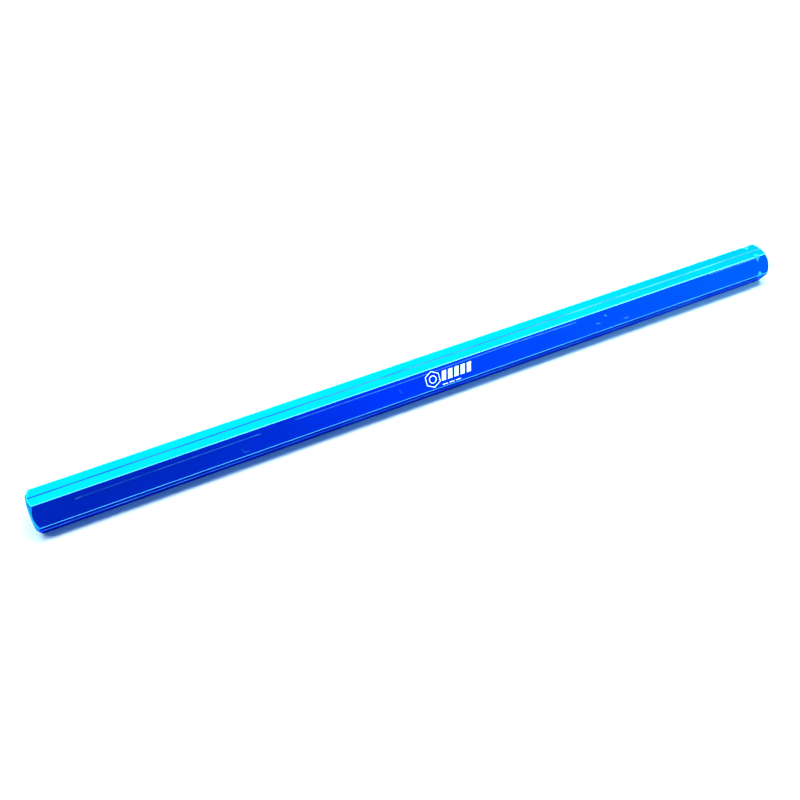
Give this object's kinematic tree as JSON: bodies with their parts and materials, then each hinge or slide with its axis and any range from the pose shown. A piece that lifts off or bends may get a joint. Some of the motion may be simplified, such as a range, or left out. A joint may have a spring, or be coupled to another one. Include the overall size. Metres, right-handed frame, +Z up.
{
  "type": "adjustable link tube",
  "caption": "Blue anodised hexagonal link tube with chamfered ends, a right-hand and a left-hand threaded insert, and a turned groove that marks the left-hand end.",
  "frame": {"origin": "centre of the tube's resting flat, midway between its two ends", "axes": "+X along the tube towards the grooved end with the left-hand thread, +Z up from the resting flat, and the printed face looks towards -Y and +Z"},
  "size_m": [0.305, 0.016, 0.014],
  "materials": {
    "blue_anodised_aluminium": "bright dipped and dyed blue, semi-gloss",
    "stainless_steel": "cold drawn, satin",
    "white_ink": "matt printed film"
  },
  "bodies": {
    "root": {"hex_tube": "blue_anodised_aluminium", "right_hand_thread_insert": "stainless_steel", "left_hand_thread_insert": "stainless_steel", "print_emblem": "white_ink", "print_bars": "white_ink", "print_dashes": "white_ink"}
  },
  "joints": []
}
